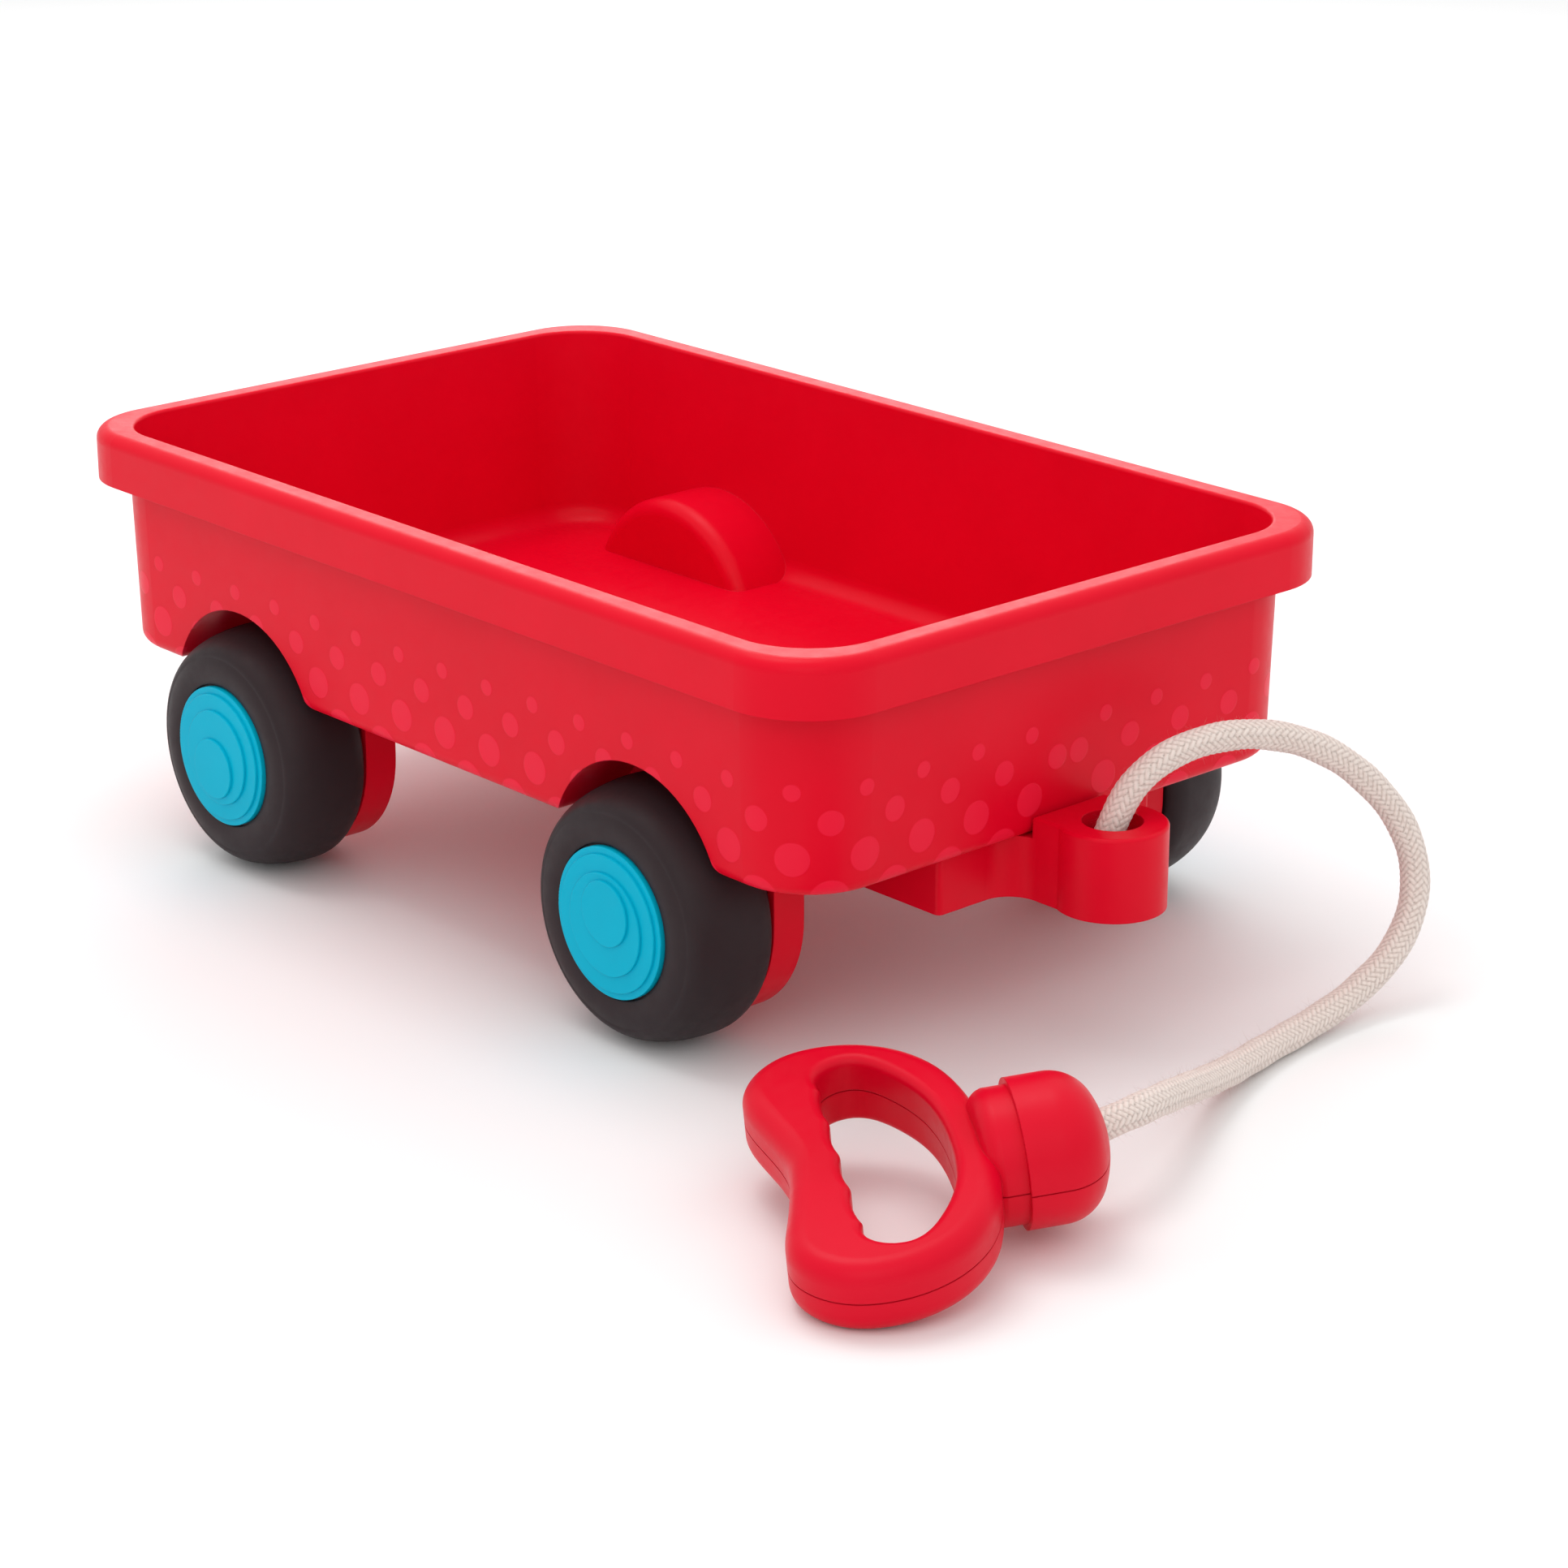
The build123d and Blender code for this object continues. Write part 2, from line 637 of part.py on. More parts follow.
def grip_body(inset):
    """The grip's outside, or the same shape drawn in by an inset on every side."""
    half_thickness = grip_thickness / 2 - inset
    rim = moved_outline(mirrored(grip_outline), -inset)
    hole = moved_outline(mirrored(finger_hole_front), inset)
    with BuildPart() as body:
        with BuildSketch(grip_plane.offset(-half_thickness)):
            with BuildLine():
                Spline(*rim, periodic=True)
            make_face()
        extrude(amount=2 * half_thickness)
        fillet(body.faces().filter_by(grip_plane).edges(), grip_edge_round - inset)
        # the finger hole, scalloped on the side that the fingers hold
        with BuildSketch(grip_plane.offset(-half_thickness)) as opening:
            with BuildLine():
                Spline(*hole)
                if inset > 0:
                    Line(hole[-1], hole[0])
                else:
                    for step in range(finger_count):
                        low = hole[-1][1] + step * finger_pitch
                        ThreePointArc(
                            (hole[0][0], low),
                            (hole[0][0] - finger_depth, low + finger_pitch / 2),
                            (hole[0][0], low + finger_pitch),
                        )
            make_face()
            if inset > 0:
                with Locations((hole[0][0], 0)):
                    Rectangle(finger_depth, finger_count * finger_pitch, align=(Align.MAX, Align.CENTER))
            else:
                cusps = opening.vertices().filter_by(lambda v: abs(v.X - hole[0][0]) < 0.01)
                fillet(cusps.sort_by(Axis.Y)[1:-1], finger_cusp_round)
        extrude(amount=2 * half_thickness, mode=Mode.SUBTRACT)
        if inset == 0:
            skins = body.faces().filter_by(grip_plane)
            fillet([edge for skin in skins for edge in skin.inner_wires().edges()], grip_hole_round)
        # collar and ball at the rope's end: a shoulder arc runs into a flatter nose arc
        reach = ball_front - ball_band_front
        drop = ball_radius - ball_shoulder
        nose = (reach**2 + drop**2 - ball_shoulder**2) / (2 * (reach - ball_shoulder))
        turn = atan2(drop, nose - reach)
        shoulder_center = Vector(ball_band_front, drop)
        nose_center = Vector(ball_front - nose, 0)
        shoulder_middle = shoulder_center + Vector(ball_shoulder - inset, 0).rotate(
            Axis.Z, degrees(turn + pi / 2) / 2
        )
        shoulder_end = shoulder_center + Vector(ball_shoulder - inset, 0).rotate(Axis.Z, degrees(turn))
        nose_middle = nose_center + Vector(nose - inset, 0).rotate(Axis.Z, degrees(turn) / 2)
        with BuildSketch(grip_section):
            with BuildLine():
                Polyline(
                    (ball_front - inset, 0),
                    (collar_back + inset, 0),
                    (collar_back + inset, collar_radius - 6),
                )
                RadiusArc(
                    (collar_back + inset, collar_radius - 6),
                    (collar_back + 5, collar_radius - inset),
                    6,
                )
                Polyline(
                    (collar_back + 5, collar_radius - inset),
                    (collar_front + inset, collar_radius - inset),
                    (collar_front + inset, ball_radius - inset),
                    (ball_band_front, ball_radius - inset),
                )
                ThreePointArc((ball_band_front, ball_radius - inset), shoulder_middle, shoulder_end)
                ThreePointArc(shoulder_end, nose_middle, (ball_front - inset, 0))
            make_face()
        revolve(axis=grip_spin)
    return body.part


outside = grip_body(0)
seam_core = grip_body(seam_depth)
hollow = grip_body(grip_wall)
mouth = Plane(origin=route[-1], z_dir=route[-2] - route[-1])

# the rope's passage from the knot out through the ball
with BuildPart() as rope_passage:
    with BuildSketch(mouth):
        Circle(rope_diameter / 2 + mouth_play)
    extrude(amount=ball_radius + rope_diameter)

# hollow posts for the four screws, cut to the inside of the shells
with BuildPart() as posts:
    with BuildSketch(grip_plane.offset(-grip_thickness / 2)):
        with Locations(*grip_screws):
            Circle(grip_post_radius)
    extrude(amount=grip_thickness)
    add(hollow, mode=Mode.INTERSECT)

with BuildPart() as screw_passages:
    with BuildSketch(grip_plane):
        with Locations(*grip_screws):
            Circle(grip_screw_diameter / 2)
    extrude(amount=grip_screw_reach)
    with BuildSketch(grip_plane):
        with Locations(*grip_screws):
            Circle(grip_screw_diameter / 2)
    extrude(amount=-grip_thickness / 2)
    with BuildSketch(grip_plane.offset(-grip_thickness / 2)):
        with Locations(*grip_screws):
            Circle(grip_head_radius + screw_hole_play)
    extrude(amount=grip_head_depth)

with BuildPart() as whole_grip:
    add(outside)
    add(hollow, mode=Mode.SUBTRACT)
    add(posts.part)
    add(rope_passage.part, mode=Mode.SUBTRACT)
    add(screw_passages.part, mode=Mode.SUBTRACT)

# a thin tongue on the lower shell, set back from the outside, closes the seam
with BuildPart() as seam_tongue:
    add(seam_core)
    split(bisect_by=grip_plane.offset(seam_gap / 2), keep=Keep.BOTTOM)
    split(bisect_by=grip_plane.offset(-seam_gap / 2), keep=Keep.TOP)
    add(hollow, mode=Mode.SUBTRACT)
    add(rope_passage.part, mode=Mode.SUBTRACT)

with BuildPart() as grip_upper:
    add(whole_grip.part)
    split(bisect_by=grip_plane.offset(seam_gap / 2), keep=Keep.TOP)

with BuildPart() as grip_lower:
    add(whole_grip.part)
    split(bisect_by=grip_plane.offset(-seam_gap / 2), keep=Keep.BOTTOM)
    add(seam_tongue.part)

with BuildPart() as screws_in_grip:
    seat = grip_plane.offset(grip_head_depth - grip_thickness / 2)
    with BuildSketch(seat):
        with Locations(*grip_screws):
            Circle(grip_head_radius)
    extrude(amount=-screw_head_height)
    with BuildSketch(seat.offset(-screw_head_height)):
        with Locations(*grip_screws):
            Rectangle(grip_head_radius * 1.3, slot_width)
            Rectangle(slot_width, grip_head_radius * 1.3)
    extrude(amount=slot_depth, mode=Mode.SUBTRACT)
    with BuildSketch(seat):
        with Locations(*grip_screws):
            Circle(grip_screw_diameter / 2)
    extrude(amount=grip_screw_reach + grip_thickness / 2 - grip_head_depth)

for piece, name in (
    (grip_upper, "grip_upper_shell"),
    (grip_lower, "grip_lower_shell"),
    (screws_in_grip, "grip_screws"),
):
    piece.part.label = name
    export_step(piece.part, f"parts/{name}.step")
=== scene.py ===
import bpy
import math
import numpy as np
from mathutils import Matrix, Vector


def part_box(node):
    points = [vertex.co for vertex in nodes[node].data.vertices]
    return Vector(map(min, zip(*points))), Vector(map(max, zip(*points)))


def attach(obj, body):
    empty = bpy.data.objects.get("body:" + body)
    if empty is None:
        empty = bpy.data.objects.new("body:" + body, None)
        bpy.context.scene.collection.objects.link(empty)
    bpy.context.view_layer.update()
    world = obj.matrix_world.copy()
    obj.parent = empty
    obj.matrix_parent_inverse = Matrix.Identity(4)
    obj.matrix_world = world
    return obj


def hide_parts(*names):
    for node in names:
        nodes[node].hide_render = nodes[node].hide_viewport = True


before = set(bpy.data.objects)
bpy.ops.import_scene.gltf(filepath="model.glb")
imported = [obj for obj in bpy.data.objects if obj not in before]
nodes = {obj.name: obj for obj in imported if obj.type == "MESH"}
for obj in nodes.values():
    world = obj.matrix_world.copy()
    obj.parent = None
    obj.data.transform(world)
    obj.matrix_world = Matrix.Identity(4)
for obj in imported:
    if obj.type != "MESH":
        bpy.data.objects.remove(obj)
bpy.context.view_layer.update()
rng = np.random.default_rng(7)

MM = 0.001
GROUND = -71.0 * MM        # the floor that the wagon stands on
EYE_X = 210.9 * MM         # axis of the hitch's eye
CAMERA_PLACE = Vector((1028.7, -882.9, 519.9 - 71.0)) * MM
CAMERA_TARGET = Vector((54.59, -0.24, 46.2 - 71.0)) * MM
FLOOR_HALF = 14.0

ROPE_DIAMETER = 10.0 * MM
KNOT_ROPE = 8.6 * MM       # the rope drawn tight in its knots
KNOT_SIZE = 6.4 * MM
STRANDS = 12
BRAID_PITCH = 30 * MM      # one strand's turn round the rope
BRAID_RELIEF = 0.5 * MM
BRAID_STEP = 0.45 * MM
FIBRE_COUNT = 5200
FIBRE_LONGEST = 3.2 * MM
FIBRE_WIDTH = 0.035 * MM
FIBRE_BIAS = 1.35          # over 1 gathers the fibres near the hitch
FIBRE_STEPS = 3

# rows of dots on the tub: shift in pitches, height above the cargo floor, radius
DOT_ROWS = (
    (0.5, -4 * MM, 7.0 * MM),
    (0.0, 10 * MM, 5.6 * MM),
    (0.5, 22 * MM, 4.2 * MM),
    (0.0, 32 * MM, 2.8 * MM),
)
DOT_PITCH = 24 * MM
DOT_SOFTNESS = 0.2 * MM
WALL_CORNER = 28 * MM
RIM_OVERHANG = 10 * MM     # rim beyond the walls
WALL_DEPTH = 1.6 * MM      # how far under the outer face the dots may reach


def srgb(red, green, blue):
    """A display colour, 0 to 255, as linear light for a shader."""
    linear = []
    for value in (red, green, blue):
        share = value / 255
        linear.append(share / 12.92 if share <= 0.04045 else ((share + 0.055) / 1.055) ** 2.4)
    return (*linear, 1.0)


def link(obj):
    bpy.context.scene.collection.objects.link(obj)
    return obj


def aim(obj, target):
    obj.rotation_euler = (target - obj.location).to_track_quat("-Z", "Y").to_euler()


# ---------------------------------------------------------------- camera

def add_camera():
    camera = link(bpy.data.objects.new("camera", bpy.data.cameras.new("camera")))
    camera.location = CAMERA_PLACE
    aim(camera, CAMERA_TARGET)
    camera.data.sensor_width = 36
    camera.data.lens = 91.76
    camera.data.clip_start = 0.05
    camera.data.clip_end = 60
    bpy.context.scene.camera = camera


# ---------------------------------------------------------------- pull rope

# the rope's points as in the CAD part: from the hitch eye's axis, heights above the ground
ROPE_ROUTE = [
    (-1, -6, 60),
    (0, 1.5, 80),
    (3.5, 14, 92.5),
    (8, 33, 97.5),
    (14, 54, 96.5),
    (21, 75, 89),
    (27.5, 93, 75),
    (36.5, 104, 57),
    (43.5, 103, 37),
    (45.5, 91, 19.5),
    (45, 69, 9),
    (46, 46, 5.5),
    (49, 22, 5.2),
    (56, -2, 7.5),
    (65, -25, 13),
    (75, -47, 20),
    (84, -69, 26),
    (88, -90, 28),
    (86, -110, 27),
]


def rope_points():
    """The rope's centreline, read from one NURBS spline over the route's points."""
    curve = bpy.data.curves.new("rope_route", "CURVE")
    curve.dimensions = "3D"
    curve.resolution_u = 32
    spline = curve.splines.new("NURBS")
    spline.points.add(len(ROPE_ROUTE) - 1)
    for point, (x, y, z) in zip(spline.points, ROPE_ROUTE):
        point.co = (EYE_X + x * MM, y * MM, GROUND + z * MM, 1)
    spline.order_u = 3
    spline.use_endpoint_u = True
    route = bpy.data.objects.new("rope_route", curve)
    line = bpy.data.meshes.new_from_object(route)
    points = np.array([vertex.co for vertex in line.vertices])
    bpy.data.objects.remove(route)
    return points


def evenly(points, step):
    """Points spaced evenly along a line, about a step apart."""
    lengths = np.r_[0, np.cumsum(np.linalg.norm(np.diff(points, axis=0), axis=1))]
    places = np.linspace(0, lengths[-1], int(lengths[-1] / step) + 1)
    return np.stack([np.interp(places, lengths, points[:, k]) for k in range(3)], axis=1), places


def side_vectors(points):
    """Two vectors across a line at each point that don't twist along it."""
    tangents = np.gradient(points, axis=0)
    tangents /= np.linalg.norm(tangents, axis=1)[:, None]
    first = np.cross(tangents[0], (0.3, 0.2, 1.0))
    sides = [first / np.linalg.norm(first)]
    for tangent in tangents[1:]:
        side = sides[-1] - tangent * sides[-1].dot(tangent)
        sides.append(side / np.linalg.norm(side))
    sides = np.array(sides)
    return tangents, sides, np.cross(tangents, sides)


def braid_relief(along, around):
    """Height from 0 to 1 of a two-over, two-under tubular braid, at a length and a turn share."""
    left = STRANDS * (around + along / BRAID_PITCH)
    right = STRANDS * (around - along / BRAID_PITCH)
    left_index = np.floor(left)
    right_index = np.floor(right)
    left_on_top = (left_index + right_index) % 4 < 2
    across = np.where(left_on_top, left - left_index, right - right_index)
    run = np.where(left_on_top, right - right_index, left - left_index)
    second = np.where(left_on_top, right_index, left_index)
    first = np.where(left_on_top, left_index, right_index)
    start = (first + second) % 4 % 2
    span = np.where(left_on_top, (run + start) / 2, (run + 1 - start) / 2)
    crown = np.sqrt(np.clip(1 - (2 * across - 1) ** 2, 0, 1))
    swell = np.sin(np.pi * np.clip(span, 0, 1)) ** 0.5
    return crown * (0.55 + 0.45 * swell), left_on_top


def braided_tube(name, points, diameter, sides=96):
    """A rope: a tube with the braid's strands raised on it."""
    line, along = evenly(points, BRAID_STEP)
    _, first, second = side_vectors(line)
    turns = np.arange(sides) / sides
    height, on_top = braid_relief(along[:, None], turns[None, :])
    wander = 0.12 * MM * np.sin(along * 310)[:, None] * np.sin(2 * np.pi * turns * 2 + 1)[None, :]
    radius = diameter / 2 - BRAID_RELIEF + BRAID_RELIEF * height + wander
    angle = 2 * np.pi * turns[None, :, None]
    around = first[:, None, :] * np.cos(angle) + second[:, None, :] * np.sin(angle)
    verts = (line[:, None, :] + around * radius[:, :, None]).reshape(-1, 3)
    count = len(line)
    rows = np.arange(count - 1)[:, None] * sides
    cols = np.arange(sides)[None, :]
    after = (cols + 1) % sides
    faces = np.stack([rows + cols, rows + after, rows + sides + after, rows + sides + cols], axis=2)
    faces = faces.reshape(-1, 4).tolist()
    faces.append(list(range(sides))[::-1])
    faces.append([(count - 1) * sides + k for k in range(sides)])
    mesh = bpy.data.meshes.new(name)
    mesh.from_pydata(verts.tolist(), [], faces)
    mesh.shade_smooth()
    # the cotton material reads both: how deep a point lies, which sets the painted shade in the
    # creases, and where it lies along its strand
    crease_shade = mesh.attributes.new("crease_shade", "FLOAT", "POINT")
    crease_shade.data.foreach_set("value", height.reshape(-1).astype(np.float32))
    lie = mesh.attributes.new("lie", "FLOAT_VECTOR", "POINT")
    slope = 2 * np.pi * (diameter / 2) / BRAID_PITCH
    lean = np.where(on_top, -slope, slope)
    place = np.stack(
        [
            along[:, None] + lean * turns[None, :] * np.pi * diameter,
            turns[None, :] * np.pi * diameter - lean * along[:, None],
            np.where(on_top, 0.0, 0.05),
        ],
        axis=2,
    )
    lie.data.foreach_set("vector", place.reshape(-1).astype(np.float32))
    return link(bpy.data.objects.new(name, mesh)), line


def fibres(name, line):
    """Loose cotton fibres that stand off the rope as thin curved slivers."""
    count = FIBRE_COUNT
    tangents, first, second = side_vectors(line)
    share = rng.random(count) ** FIBRE_BIAS
    index = np.clip((share * (len(line) - 1)).astype(int), 1, len(line) - 2)
    angle = rng.random(count) * 2 * np.pi
    out = first[index] * np.cos(angle)[:, None] + second[index] * np.sin(angle)[:, None]
    side = np.cross(out, tangents[index])
    lean = rng.normal(size=(count, 1)) * tangents[index] + rng.normal(size=(count, 1)) * side
    length = FIBRE_LONGEST * (0.25 + 0.75 * rng.random(count) ** 2.2)[:, None]
    root = line[index] + out * (ROPE_DIAMETER / 2 - 0.35 * MM)
    curl = rng.normal(size=(count, 3)) * 0.45
    rungs = []
    for part in np.linspace(0, 1, FIBRE_STEPS + 1):
        place = root + length * (part * (0.55 * out + 0.375 * lean) + part**2 * curl)
        width = side * (FIBRE_WIDTH * (1 - 0.8 * part))
        rungs.append(np.stack([place - width, place + width], axis=1))
    verts = np.stack(rungs, axis=1).reshape(-1, 3)
    verts[:, 2] = np.maximum(verts[:, 2], GROUND + 0.05 * MM)
    faces = []
    for fibre in range(count):
        for step in range(FIBRE_STEPS):
            low = 2 * (fibre * (FIBRE_STEPS + 1) + step)
            faces.append((low, low + 1, low + 3, low + 2))
    mesh = bpy.data.meshes.new(name)
    mesh.from_pydata(verts.tolist(), [], faces)
    return link(bpy.data.objects.new(name, mesh))


def knot_line(center, size):
    """A trefoil, the way a single rope lies in a simple knot."""
    t = np.linspace(0, 2 * np.pi, 240)
    ring = 2 + np.cos(3 * t)
    shape = np.stack([np.cos(2 * t) * ring, np.sin(2 * t) * ring, np.sin(3 * t) * 1.3], axis=1)
    return np.array(center) + shape * size / 3


def ride_as_rope(piece, finish):
    piece.data.materials.append(finish)
    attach(piece, "rope_and_grip")


def add_rope(finish):
    rope, line = braided_tube("braided_rope", rope_points(), ROPE_DIAMETER)
    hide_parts("pull_rope")
    ride_as_rope(rope, finish)
    fuzz = fibres("rope_fibres", line[30:-30])
    ride_as_rope(fuzz, finish)
    for name in ("rope_knot_hitch", "rope_knot_grip"):
        low, high = (np.array(corner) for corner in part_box(name))
        turns = knot_line((low + high) / 2, KNOT_SIZE)
        knot, _ = braided_tube(f"{name}_turns", turns, KNOT_ROPE, sides=48)
        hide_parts(name)
        ride_as_rope(knot, finish)


# ---------------------------------------------------------------- materials

def material(name):
    made = bpy.data.materials.new(name)
    made.use_nodes = True
    tree = made.node_tree
    shader = tree.nodes["Principled BSDF"]
    return made, tree, shader


def node(tree, kind, **settings):
    made = tree.nodes.new(kind)
    for key, value in settings.items():
        setattr(made, key, value)
    return made


def noise(tree, vector, scale, detail=3.0, roughness=0.55):
    made = node(tree, "ShaderNodeTexNoise")
    made.inputs["Scale"].default_value = scale
    made.inputs["Detail"].default_value = detail
    made.inputs["Roughness"].default_value = roughness
    tree.links.new(vector, made.inputs["Vector"])
    return made.outputs["Fac"]


def spread(tree, value, low, high, start=0.3, end=0.7):
    """A value between start and end, spread over low to high."""
    made = node(tree, "ShaderNodeMapRange")
    made.inputs["From Min"].default_value = start
    made.inputs["From Max"].default_value = end
    made.inputs["To Min"].default_value = low
    made.inputs["To Max"].default_value = high
    tree.links.new(value, made.inputs["Value"])
    return made.outputs["Result"]


def mix_colours(tree, share, one, two):
    """One colour turning into another; the first may be a constant or another node's output."""
    made = node(tree, "ShaderNodeMix", data_type="RGBA")
    if isinstance(one, tuple):
        made.inputs["A"].default_value = one
    else:
        tree.links.new(one, made.inputs["A"])
    made.inputs["B"].default_value = two
    tree.links.new(share, made.inputs["Factor"])
    return made.outputs["Result"]


def bump(tree, height, distance, strength=1.0, normal=None):
    made = node(tree, "ShaderNodeBump")
    made.inputs["Distance"].default_value = distance
    made.inputs["Strength"].default_value = strength
    tree.links.new(height, made.inputs["Height"])
    if normal is not None:
        tree.links.new(normal, made.inputs["Normal"])
    return made.outputs["Normal"]


def moulded_plastic(name, colour, dark, gloss, grain, soften=0.5 * MM, shine=0.25):
    """Injection-moulded plastic: slow colour drift, a fine moulded grain and faint flow waves."""
    made, tree, shader = material(name)
    place = node(tree, "ShaderNodeTexCoord").outputs["Object"]
    drift = noise(tree, place, 22, 4)
    base = mix_colours(tree, spread(tree, drift, 0, 1), colour, dark)
    tree.links.new(base, shader.inputs["Base Color"])
    wear = noise(tree, place, 160, 6, 0.7)
    tree.links.new(spread(tree, wear, gloss - 0.05, gloss + 0.07), shader.inputs["Roughness"])
    edge = node(tree, "ShaderNodeBevel", samples=4)
    edge.inputs["Radius"].default_value = soften
    waves = bump(tree, noise(tree, place, 30, 2), 0.25 * MM, 0.35, edge.outputs["Normal"])
    fine = bump(tree, noise(tree, place, 2600, 2), grain, 0.5, waves)
    tree.links.new(fine, shader.inputs["Normal"])
    shader.inputs["IOR"].default_value = 1.49
    shader.inputs["Specular IOR Level"].default_value = shine
    return made


def maths(tree, operation, one, two=0.0, three=0.0):
    made = node(tree, "ShaderNodeMath", operation=operation)
    for socket, value in zip(made.inputs, (one, two, three)):
        if isinstance(value, (int, float)):
            socket.default_value = value
        else:
            tree.links.new(value, socket)
    return made.outputs[0]


def reach(tree, one, two):
    """The length of a vector with these two parts."""
    squares = maths(tree, "MULTIPLY_ADD", one, one, maths(tree, "MULTIPLY", two, two))
    return maths(tree, "SQRT", squares)


def decorate(made):
    """Rows of plain round dots, tone on tone, low on the tub's outer walls."""
    tree = made.node_tree
    shader = tree.nodes["Principled BSDF"]
    place = node(tree, "ShaderNodeSeparateXYZ")
    tree.links.new(node(tree, "ShaderNodeTexCoord").outputs["Object"], place.inputs["Vector"])
    height = place.outputs["Z"]
    _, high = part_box("tub")
    straight_x = high[0] - RIM_OVERHANG - WALL_CORNER
    straight_y = high[1] - RIM_OVERHANG - WALL_CORNER
    across_x = maths(tree, "ABSOLUTE", place.outputs["X"])
    across_y = maths(tree, "ABSOLUTE", place.outputs["Y"])
    past_x = maths(tree, "MAXIMUM", maths(tree, "SUBTRACT", across_x, straight_x), 0.0)
    past_y = maths(tree, "MAXIMUM", maths(tree, "SUBTRACT", across_y, straight_y), 0.0)
    # distance round the wall: along the side, round the corner, then along the end
    side_run = maths(tree, "MINIMUM", across_x, straight_x)
    end_run = maths(tree, "SUBTRACT", straight_y, maths(tree, "MINIMUM", across_y, straight_y))
    turn = maths(tree, "MULTIPLY_ADD", maths(tree, "ARCTAN2", past_x, past_y), WALL_CORNER, side_run)
    run = maths(tree, "ADD", turn, end_run)
    tone = 0.0
    for shift, level, radius in DOT_ROWS:
        turns = maths(tree, "MULTIPLY_ADD", run, 1 / DOT_PITCH, shift)
        along = maths(tree, "MULTIPLY_ADD", maths(tree, "FRACT", turns), DOT_PITCH, -0.5 * DOT_PITCH)
        distance = reach(tree, along, maths(tree, "SUBTRACT", height, level))
        dot = spread(tree, distance, 1.0, 0.0, radius - DOT_SOFTNESS, radius + DOT_SOFTNESS)
        tone = maths(tree, "MAXIMUM", dot, tone)
    outside = maths(tree, "GREATER_THAN", reach(tree, past_x, past_y), WALL_CORNER - WALL_DEPTH)
    tone = maths(tree, "MULTIPLY", tone, outside)
    plain = shader.inputs["Base Color"].links[0].from_socket
    dotted = mix_colours(tree, maths(tree, "MULTIPLY", tone, 0.7), plain, srgb(240, 30, 62))
    tree.links.new(dotted, shader.inputs["Base Color"])
    smooth = shader.inputs["Normal"].links[0].from_socket
    tree.links.new(bump(tree, tone, 0.12 * MM, 0.5, smooth), shader.inputs["Normal"])


def steel():
    made, tree, shader = material("zinc_steel")
    place = node(tree, "ShaderNodeTexCoord").outputs["Object"]
    tone = spread(tree, noise(tree, place, 400, 5), 0, 1)
    base = mix_colours(tree, tone, srgb(190, 190, 194), srgb(150, 150, 156))
    tree.links.new(base, shader.inputs["Base Color"])
    tree.links.new(spread(tree, noise(tree, place, 900, 4), 0.28, 0.5), shader.inputs["Roughness"])
    shader.inputs["Metallic"].default_value = 1.0
    return made


def cotton():
    """Braided cotton: painted shade darkens the creases, and fine fibres lie along each strand."""
    made, tree, shader = material("braided_cotton")
    crease_shade = node(tree, "ShaderNodeAttribute", attribute_name="crease_shade").outputs["Fac"]
    lie = node(tree, "ShaderNodeAttribute", attribute_name="lie").outputs["Vector"]
    stretch = node(tree, "ShaderNodeMapping")
    stretch.inputs["Scale"].default_value = (220, 2600, 200)
    tree.links.new(lie, stretch.inputs["Vector"])
    strands = noise(tree, stretch.outputs["Vector"], 1.0, 4, 0.6)
    # painted shade: the colour is darker where the braid dips into its creases and lighter on the
    # strands' crowns
    painted_shade = spread(tree, crease_shade, 0, 1, 0.1, 0.85)
    base = mix_colours(tree, painted_shade, srgb(196, 176, 166), srgb(236, 224, 216))
    tint = node(tree, "ShaderNodeMix", data_type="RGBA", blend_type="MULTIPLY")
    tree.links.new(spread(tree, strands, 0, 0.35), tint.inputs["Factor"])
    tree.links.new(base, tint.inputs["A"])
    tint.inputs["B"].default_value = srgb(222, 205, 196)
    tree.links.new(tint.outputs["Result"], shader.inputs["Base Color"])
    shader.inputs["Roughness"].default_value = 0.92
    shader.inputs["Specular IOR Level"].default_value = 0.2
    shader.inputs["Sheen Weight"].default_value = 0.35
    shader.inputs["Sheen Roughness"].default_value = 0.6
    tree.links.new(bump(tree, strands, 0.16 * MM, 0.8), shader.inputs["Normal"])
    return made


# ---------------------------------------------------------------- stage

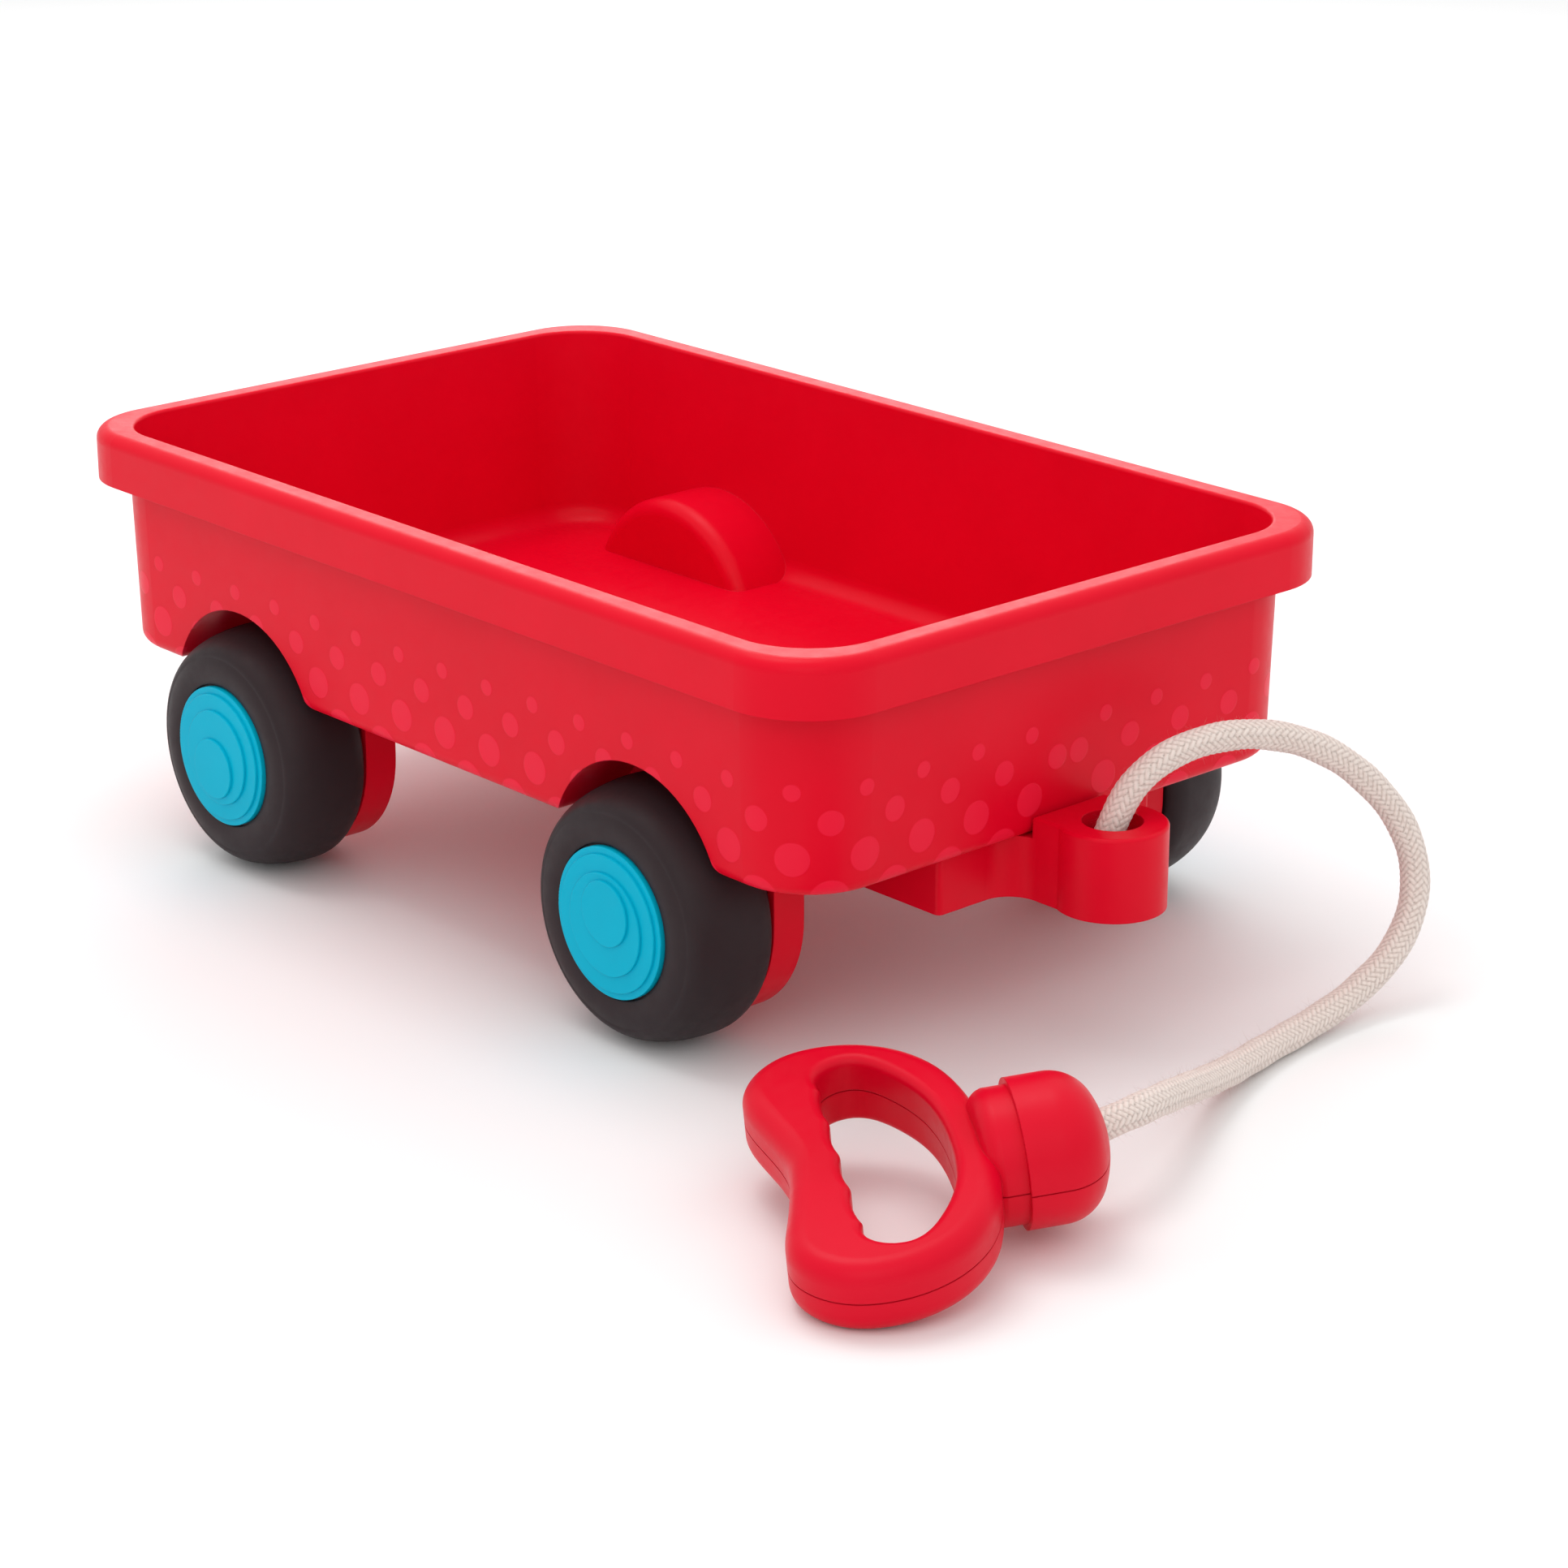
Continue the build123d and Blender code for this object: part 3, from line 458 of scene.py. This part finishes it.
def add_stage():
    mesh = bpy.data.meshes.new("floor")
    signs = ((-1, -1), (1, -1), (1, 1), (-1, 1))
    corners = [(x * FLOOR_HALF, y * FLOOR_HALF, GROUND) for x, y in signs]
    mesh.from_pydata(corners, [], [(0, 1, 2, 3)])
    floor = link(bpy.data.objects.new("floor", mesh))
    made, _, shader = material("floor")
    shader.inputs["Base Color"].default_value = (0.90, 0.90, 0.90, 1)
    shader.inputs["Roughness"].default_value = 0.7
    shader.inputs["Specular IOR Level"].default_value = 0.1
    mesh.materials.append(made)
    world = bpy.data.worlds.new("studio")
    world.use_nodes = True
    # a soft sky, brightest overhead
    tree = world.node_tree
    direction = node(tree, "ShaderNodeSeparateXYZ")
    tree.links.new(node(tree, "ShaderNodeTexCoord").outputs["Generated"], direction.inputs["Vector"])
    strength = spread(tree, direction.outputs["Z"], 0.68, 1.12, 0.0, 1.0)
    tree.nodes["Background"].inputs["Color"].default_value = (1, 1, 1, 1)
    tree.links.new(strength, tree.nodes["Background"].inputs["Strength"])
    bpy.context.scene.world = world
    bpy.context.scene.view_settings.view_transform = "Standard"
    for name, place, size, power in (
        ("top_light", (-0.35, -0.1, 1.6), 0.9, 8),
        ("back_light", (-1.3, 1.1, 0.85), 1.0, 7),
        ("front_light", (1.2, -1.3, 0.9), 1.2, 3),
    ):
        light = bpy.data.lights.new(name, "AREA")
        light.size = size
        light.energy = power
        lamp = link(bpy.data.objects.new(name, light))
        lamp.location = place
        lamp.visible_camera = False
        aim(lamp, Vector((0.03, 0, -0.03)))


# ---------------------------------------------------------------- dressing the frame

def dress(materials):
    """Gives each CAD node the material that suits its name."""
    for name, obj in nodes.items():
        for start, made in materials.items():
            if name.startswith(start):
                for place in obj.material_slots:
                    place.material = made
                break


add_camera()
add_rope(cotton())
tub_red = moulded_plastic(
    "tub_red", srgb(225, 0, 36), srgb(219, 0, 33), 0.36, 0.02 * MM, shine=0.13
)
decorate(tub_red)
hitch_red = moulded_plastic(
    "hitch_red", srgb(222, 0, 36), srgb(216, 0, 33), 0.38, 0.02 * MM, shine=0.13
)
grip_red = moulded_plastic(
    "grip_red", srgb(218, 0, 38), srgb(211, 0, 34), 0.37, 0.03 * MM, shine=0.16
)
tyre_black = moulded_plastic(
    "tyre_black", srgb(44, 30, 33), srgb(38, 26, 29), 0.50, 0.03 * MM, soften=0.8 * MM
)
cap_blue = moulded_plastic(
    "cap_blue", srgb(0, 178, 208), srgb(0, 172, 202), 0.34, 0.01 * MM, soften=0.2 * MM, shine=0.07
)
metal = steel()
# a name's first match counts, so the grip's screws come before the grip
dress({
    "tub": tub_red,
    "tow_hitch": hitch_red,
    "axle_carrier": hitch_red,
    "grip_screws": metal,
    "grip": grip_red,
    "tyre": tyre_black,
    "wheel_core": tyre_black,
    "hub_cap": cap_blue,
    "hitch_screws": metal,
    "carrier_screws": metal,
    "axle": metal,
    "washers": metal,
    "push_nuts": metal,
})
add_stage()
